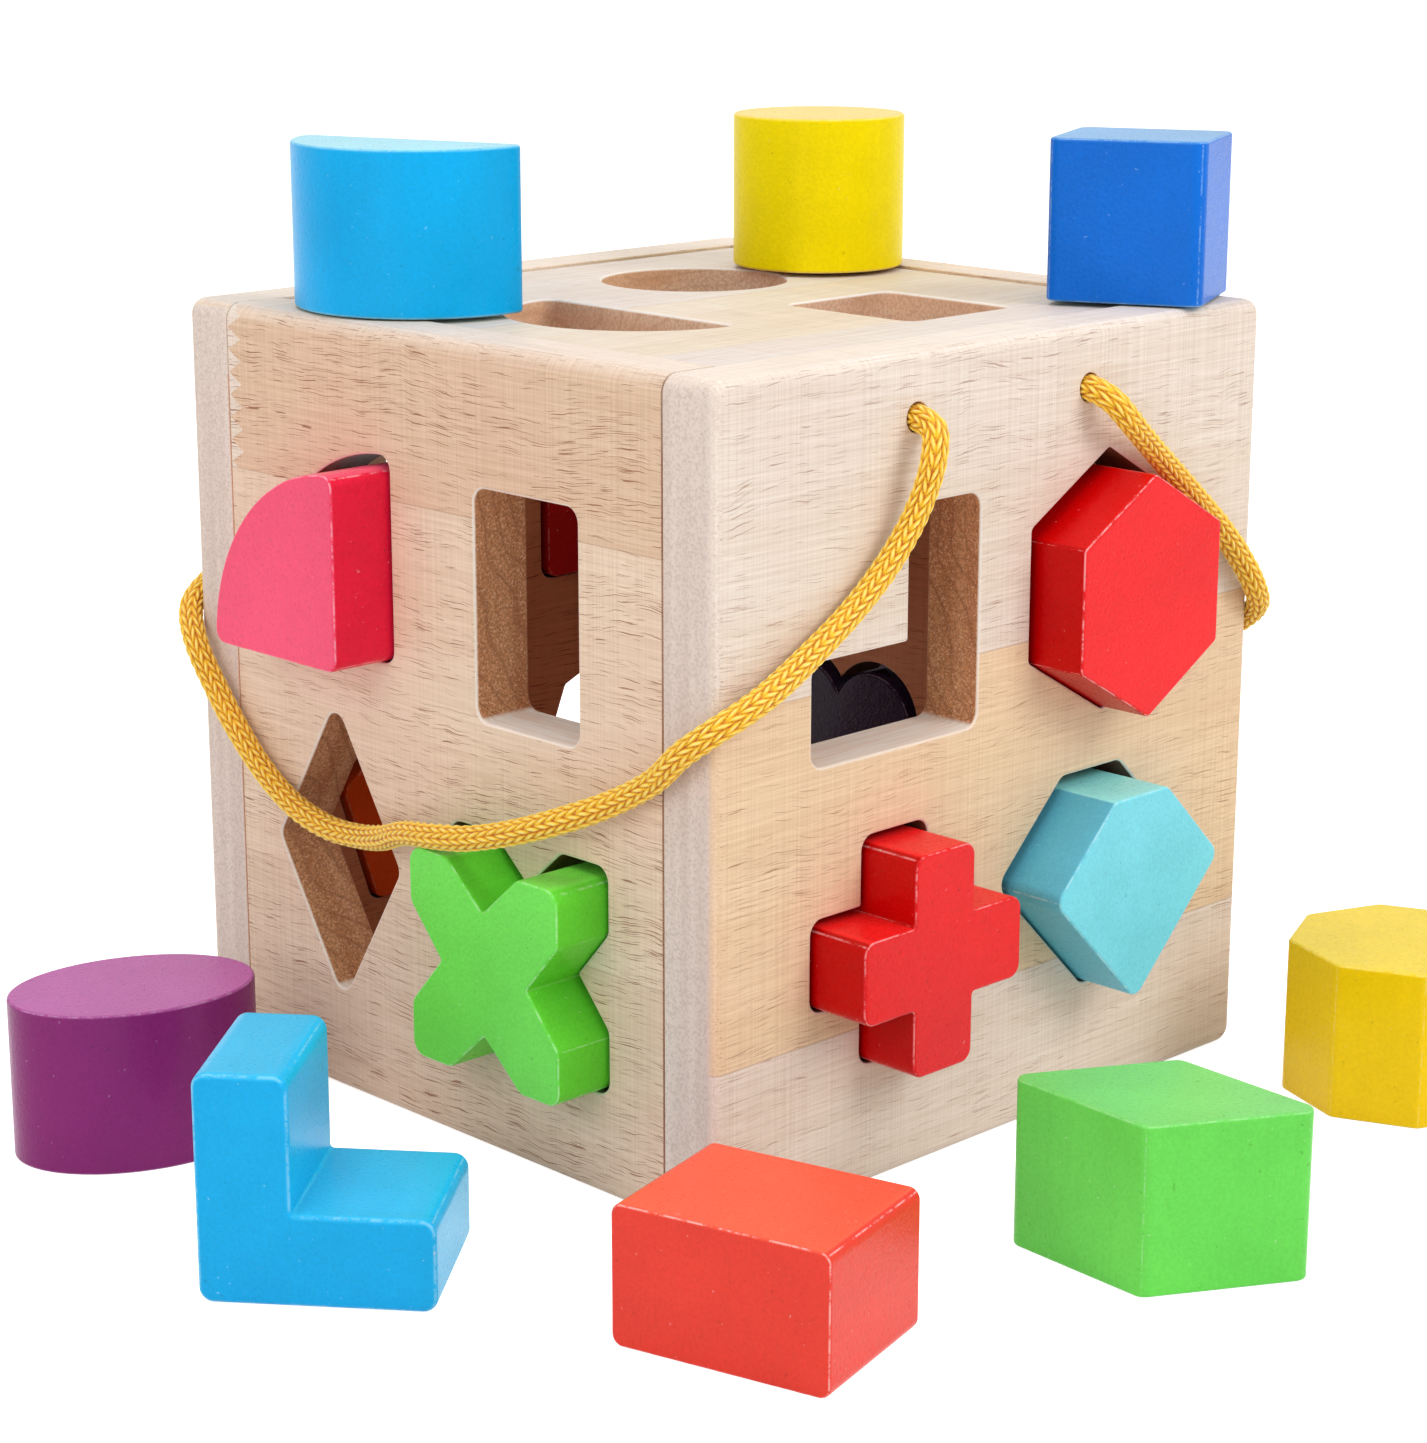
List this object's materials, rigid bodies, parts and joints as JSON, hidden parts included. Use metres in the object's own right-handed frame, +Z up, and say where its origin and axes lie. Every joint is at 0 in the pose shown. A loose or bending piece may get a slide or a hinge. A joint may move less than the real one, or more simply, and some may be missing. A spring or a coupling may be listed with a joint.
{
  "type": "shape sorter",
  "caption": "Wooden shape-sorting box with shaped holes in its lid and walls, matching painted blocks in, on and around it, and two braided cord handles.",
  "frame": {"origin": "middle of the base board's underside, on the surface that the box stands on", "axes": "+Z up; the wall with the L, hexagon, cross and cut-square holes faces -Y; the wall with the rectangle and quarter-round holes faces -X"},
  "size_m": [0.2295, 0.2252, 0.1688],
  "materials": {
    "wall_wood": "satin clear lacquer",
    "lid_wood": "satin clear lacquer",
    "inner_wood": "bare, sanded",
    "cord": "braided, slight sheen",
    "paint_hexagon": "satin paint over wood",
    "paint_cross": "satin paint over wood",
    "paint_cut_square": "satin paint over wood",
    "paint_quarter_round": "satin paint over wood",
    "paint_notched_square": "satin paint over wood",
    "paint_right_triangle": "satin paint over wood",
    "paint_pentagon": "satin paint over wood",
    "paint_star": "satin paint over wood",
    "paint_triangle": "satin paint over wood",
    "paint_trapezoid": "satin paint over wood",
    "paint_heart": "satin paint over wood",
    "paint_half_round": "satin paint over wood",
    "paint_cylinder": "satin paint over wood",
    "paint_cuboid": "satin paint over wood",
    "paint_diamond": "satin paint over wood",
    "paint_ellipse": "satin paint over wood",
    "paint_octagon": "satin paint over wood",
    "paint_rectangle": "satin paint over wood",
    "paint_ell": "satin paint over wood"
  },
  "bodies": {
    "box": {"front_panel": "wall_wood", "back_panel": "wall_wood", "left_panel": "wall_wood", "right_panel": "wall_wood", "base_board": "inner_wood", "lid_rest_front_left": "inner_wood", "lid_rest_front_right": "inner_wood", "lid_rest_back_left": "inner_wood", "lid_rest_back_right": "inner_wood", "cord_left": "cord", "cord_right": "cord", "knot_front_left": "cord", "knot_front_right": "cord", "knot_back_left": "cord", "knot_back_right": "cord"},
    "lid": {"lid": "lid_wood"},
    "block_hexagon": {"block_hexagon": "paint_hexagon"},
    "block_cross": {"block_cross": "paint_cross"},
    "block_cut_square": {"block_cut_square": "paint_cut_square"},
    "block_quarter_round": {"block_quarter_round": "paint_quarter_round"},
    "block_notched_square": {"block_notched_square": "paint_notched_square"},
    "block_right_triangle": {"block_right_triangle": "paint_right_triangle"},
    "block_pentagon": {"block_pentagon": "paint_pentagon"},
    "block_star": {"block_star": "paint_star"},
    "block_triangle": {"block_triangle": "paint_triangle"},
    "block_trapezoid": {"block_trapezoid": "paint_trapezoid"},
    "block_heart": {"block_heart": "paint_heart"},
    "block_half_round": {"block_half_round": "paint_half_round"},
    "block_cylinder": {"block_cylinder": "paint_cylinder"},
    "block_cuboid": {"block_cuboid": "paint_cuboid"},
    "block_diamond": {"block_diamond": "paint_diamond"},
    "block_ellipse": {"block_ellipse": "paint_ellipse"},
    "block_octagon": {"block_octagon": "paint_octagon"},
    "block_rectangle": {"block_rectangle": "paint_rectangle"},
    "block_ell": {"block_ell": "paint_ell"}
  },
  "joints": [
    {"name": "lid_lift", "type": "slide", "parent": "box", "child": "lid", "axis": [0, 0, 1], "range_m": [0, 0.05]},
    {"name": "hexagon_push", "type": "slide", "parent": "box", "child": "block_hexagon", "axis": [0, -1, 0], "range_m": [-0.006, 0.02]},
    {"name": "cross_push", "type": "slide", "parent": "box", "child": "block_cross", "axis": [0, -1, 0], "range_m": [-0.006, 0.02]},
    {"name": "cut_square_push", "type": "slide", "parent": "box", "child": "block_cut_square", "axis": [0, -1, 0], "range_m": [-0.006, 0.02]},
    {"name": "quarter_round_push", "type": "slide", "parent": "box", "child": "block_quarter_round", "axis": [-1, 0, 0], "range_m": [-0.006, 0.02]},
    {"name": "notched_square_push", "type": "slide", "parent": "box", "child": "block_notched_square", "axis": [-1, 0, 0], "range_m": [-0.006, 0.016]},
    {"name": "right_triangle_push", "type": "slide", "parent": "box", "child": "block_right_triangle", "axis": [0, 1, 0], "range_m": [-0.006, 0.02]},
    {"name": "pentagon_push", "type": "slide", "parent": "box", "child": "block_pentagon", "axis": [0, 1, 0], "range_m": [-0.006, 0.02]},
    {"name": "star_push", "type": "slide", "parent": "box", "child": "block_star", "axis": [1, 0, 0], "range_m": [-0.006, 0.02]},
    {"name": "triangle_push", "type": "slide", "parent": "box", "child": "block_triangle", "axis": [1, 0, 0], "range_m": [-0.006, 0.02]},
    {"name": "trapezoid_push", "type": "slide", "parent": "box", "child": "block_trapezoid", "axis": [1, 0, 0], "range_m": [-0.006, 0.02]},
    {"name": "heart_push", "type": "slide", "parent": "box", "child": "block_heart", "axis": [1, 0, 0], "range_m": [-0.006, 0.02]},
    {"name": "half_round_lift", "type": "slide", "parent": "lid", "child": "block_half_round", "axis": [0, 0, 1], "range_m": [0, 0.03]},
    {"name": "cylinder_lift", "type": "slide", "parent": "lid", "child": "block_cylinder", "axis": [0, 0, 1], "range_m": [0, 0.03]},
    {"name": "cuboid_lift", "type": "slide", "parent": "lid", "child": "block_cuboid", "axis": [0, 0, 1], "range_m": [0, 0.03]},
    {"name": "diamond_lift", "type": "slide", "parent": "box", "child": "block_diamond", "axis": [0, 0, 1], "range_m": [0, 0.03]},
    {"name": "ellipse_lift", "type": "slide", "parent": "box", "child": "block_ellipse", "axis": [0, 0, 1], "range_m": [0, 0.03]},
    {"name": "octagon_lift", "type": "slide", "parent": "box", "child": "block_octagon", "axis": [0, 0, 1], "range_m": [0, 0.03]},
    {"name": "rectangle_lift", "type": "slide", "parent": "box", "child": "block_rectangle", "axis": [0, 0, 1], "range_m": [0, 0.03]},
    {"name": "ell_lift", "type": "slide", "parent": "box", "child": "block_ell", "axis": [0, 0, 1], "range_m": [0, 0.03]}
  ]
}
